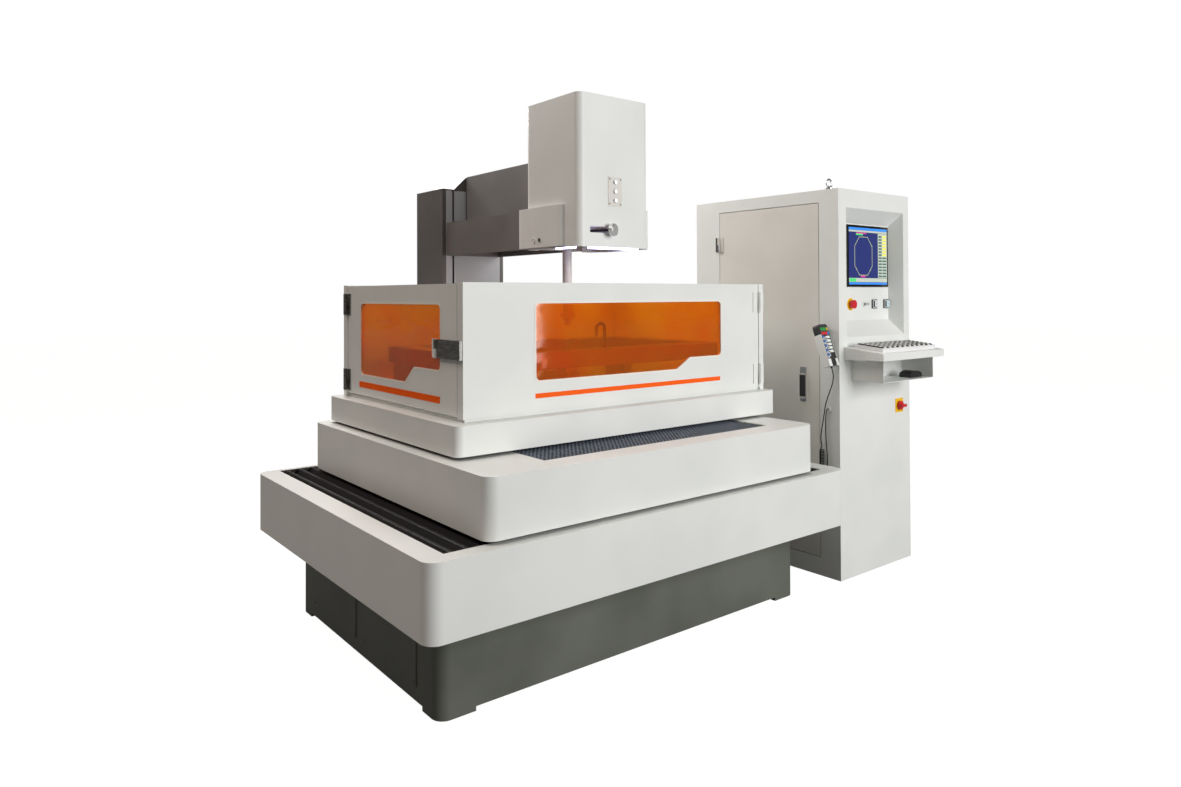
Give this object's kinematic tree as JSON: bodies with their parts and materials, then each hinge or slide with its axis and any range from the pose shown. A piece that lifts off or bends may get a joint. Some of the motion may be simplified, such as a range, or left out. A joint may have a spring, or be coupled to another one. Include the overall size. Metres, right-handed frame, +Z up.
{
  "type": "wire edm machine",
  "caption": "Wire-cut spark erosion machine: cross table on a cast bed, splash guard with two doors, C-frame with wire drum and head, and a control cabinet with console.",
  "frame": {"origin": "on the floor, at the middle of the whole machine's box", "axes": "+X to the right along the machine's front, +Y to the back, +Z up"},
  "size_m": [2.82, 2.194, 2.156],
  "materials": {
    "white_paint": "textured powder coat",
    "bed_paint": "painted casting",
    "column_paint": "painted casting",
    "grey_paint": "satin",
    "bellows": "coated cloth",
    "steel": "ground",
    "amber": "clear tinted sheet",
    "dark_paint": "satin",
    "black_plastic": "fine grain",
    "yellow_plastic": "smooth",
    "red_plastic": "smooth",
    "button_metal": "satin",
    "screen": "glass-like",
    "cord_rubber": "satin"
  },
  "bodies": {
    "base": {"bed_casting": "bed_paint", "drip_pan": "white_paint", "x_ways": "steel", "x_cover_outer": "bellows", "column_casting": "column_paint", "column_covers": "grey_paint", "lower_arm": "steel", "cutting_wire": "steel", "drum_housing": "white_paint", "cabinet_shell": "white_paint", "cabinet_fittings": "steel", "console_panel": "white_paint", "monitor": "screen", "switch_plates": "yellow_plastic", "keyboard_shelf": "white_paint", "keyboard_and_mouse": "black_plastic", "handset_holder": "white_paint", "handset": "black_plastic", "handset_cord": "cord_rubber", "handset_cord_curl": "cord_rubber"},
    "x_screw": {"x_ball_screw": "steel"},
    "x_cover": {"x_cover_stage": "bellows"},
    "saddle": {"saddle_casting": "bed_paint", "saddle_cover": "white_paint", "y_ways": "steel", "saddle_way_covers": "bellows"},
    "y_screw": {"y_ball_screw": "steel"},
    "y_cover": {"y_cover_stage": "bellows"},
    "table": {"table_casting": "bed_paint", "table_way_covers": "bellows", "tray": "white_paint", "worktable": "steel", "coolant_nozzle": "black_plastic", "guard_frame": "white_paint"},
    "left_door": {"left_door": "white_paint", "left_window": "amber"},
    "front_door": {"front_door": "white_paint", "front_window": "amber"},
    "latch": {"door_latch": "dark_paint"},
    "arm": {"arm_block": "column_paint", "arm_cover": "dark_paint"},
    "taper": {"taper_slide": "steel"},
    "head": {"head_frame": "steel", "head_skirt": "white_paint", "head_cover": "white_paint", "button_plate": "grey_paint"},
    "button_top": {"head_button_top": "button_metal"},
    "button_middle": {"head_button_middle": "button_metal"},
    "button_bottom": {"head_button_bottom": "button_metal"},
    "lever": {"tension_lever": "steel"},
    "lid": {"drum_lid": "white_paint"},
    "drum_slide": {"drum_carriage": "steel"},
    "drum": {"wire_drum": "steel"},
    "cabinet_door": {"cabinet_door": "white_paint"},
    "lock_handle": {"door_lock_handle": "black_plastic"},
    "stop": {"emergency_stop": "red_plastic"},
    "key": {"key_switch": "button_metal"},
    "square_left": {"square_button_left": "black_plastic"},
    "square_right": {"square_button_right": "black_plastic"},
    "main_switch": {"main_switch_knob": "red_plastic"}
  },
  "joints": [
    {"name": "x_travel", "type": "slide", "parent": "base", "child": "saddle", "axis": [1, 0, 0], "range_m": [-0.315, 0.12]},
    {"name": "x_cover_travel", "type": "slide", "parent": "base", "child": "x_cover", "axis": [1, 0, 0], "range_m": [-0.1575, 0.06]},
    {"name": "x_screw_turn", "type": "hinge", "parent": "base", "child": "x_screw", "pos_m": [-0.41, -0.227, 0.4], "axis": [1, 0, 0], "continuous": true},
    {"name": "y_travel", "type": "slide", "parent": "saddle", "child": "table", "axis": [0, 1, 0], "range_m": [-0.38, 0.03]},
    {"name": "y_cover_travel", "type": "slide", "parent": "saddle", "child": "y_cover", "axis": [0, 1, 0], "range_m": [-0.19, 0.015]},
    {"name": "y_screw_turn", "type": "hinge", "parent": "saddle", "child": "y_screw", "pos_m": [-0.2895, -0.232, 0.7], "axis": [0, 1, 0], "continuous": true},
    {"name": "z_travel", "type": "slide", "parent": "base", "child": "arm", "axis": [0, 0, 1], "range_m": [-0.08, 0.17], "deforming": ["cutting_wire"]},
    {"name": "v_travel", "type": "slide", "parent": "arm", "child": "taper", "axis": [0, 1, 0], "range_m": [-0.015, 0.015]},
    {"name": "u_travel", "type": "slide", "parent": "taper", "child": "head", "axis": [1, 0, 0], "range_m": [-0.015, 0.015]},
    {"name": "head_button_top_push", "type": "slide", "parent": "head", "child": "button_top", "axis": [0, 1, 0], "range_m": [0, 0.003], "stiffness_N_per_m": 600},
    {"name": "head_button_middle_push", "type": "slide", "parent": "head", "child": "button_middle", "axis": [0, 1, 0], "range_m": [0, 0.003], "stiffness_N_per_m": 600},
    {"name": "head_button_bottom_push", "type": "slide", "parent": "head", "child": "button_bottom", "axis": [0, 1, 0], "range_m": [0, 0.003], "stiffness_N_per_m": 600},
    {"name": "tension_lever_swing", "type": "hinge", "parent": "head", "child": "lever", "pos_m": [-0.435, -0.532, 1.611], "axis": [0, 0, -1], "range_deg": [0, 40]},
    {"name": "left_door_swing", "type": "hinge", "parent": "table", "child": "left_door", "pos_m": [-1.094, 0.3605, 1.15], "axis": [0, 0, -1], "range_deg": [0, 100]},
    {"name": "front_door_swing", "type": "hinge", "parent": "table", "child": "front_door", "pos_m": [0.4925, -0.675, 1.15], "axis": [0, 0, 1], "range_deg": [0, 100]},
    {"name": "latch_swing", "type": "hinge", "parent": "left_door", "child": "latch", "pos_m": [-1.094, -0.485, 1.156], "axis": [0, 0, -1], "range_deg": [0, 90]},
    {"name": "drum_lid_swing", "type": "hinge", "parent": "base", "child": "lid", "pos_m": [-0.355, 0.79, 1.24], "axis": [1, 0, 0], "range_deg": [0, 90]},
    {"name": "drum_travel", "type": "slide", "parent": "base", "child": "drum_slide", "axis": [1, 0, 0], "range_m": [-0.07, 0.07]},
    {"name": "drum_spin", "type": "hinge", "parent": "drum_slide", "child": "drum", "pos_m": [-0.355, 0.9338, 1.08], "axis": [1, 0, 0], "continuous": true},
    {"name": "cabinet_door_swing", "type": "hinge", "parent": "base", "child": "cabinet_door", "pos_m": [0.794, -0.1405, 0.9], "axis": [0, 0, -1], "range_deg": [0, 10]},
    {"name": "lock_handle_turn", "type": "hinge", "parent": "cabinet_door", "child": "lock_handle", "pos_m": [0.8, -0.685, 0.862], "axis": [1, 0, 0], "range_deg": [0, 90]},
    {"name": "emergency_stop_push", "type": "slide", "parent": "base", "child": "stop", "axis": [0, 1, 0], "range_m": [0, 0.006], "stiffness_N_per_m": 600},
    {"name": "key_switch_turn", "type": "hinge", "parent": "base", "child": "key", "pos_m": [1.117, -0.82, 1.298], "axis": [0, 1, 0], "range_deg": [0, 90]},
    {"name": "square_left_push", "type": "slide", "parent": "base", "child": "square_left", "axis": [0, 1, 0], "range_m": [0, 0.003], "stiffness_N_per_m": 600},
    {"name": "square_right_push", "type": "slide", "parent": "base", "child": "square_right", "axis": [0, 1, 0], "range_m": [0, 0.003], "stiffness_N_per_m": 600},
    {"name": "main_switch_turn", "type": "hinge", "parent": "base", "child": "main_switch", "pos_m": [1.311, -0.89, 0.783], "axis": [0, 1, 0], "range_deg": [0, 90]}
  ],
  "couplings": [
    {"joint": "x_cover_travel", "follows": "x_travel", "ratio": 0.5},
    {"joint": "x_screw_turn", "follows": "x_travel", "rad_per_m": 628.32},
    {"joint": "y_cover_travel", "follows": "y_travel", "ratio": 0.5},
    {"joint": "y_screw_turn", "follows": "y_travel", "rad_per_m": 628.32}
  ]
}
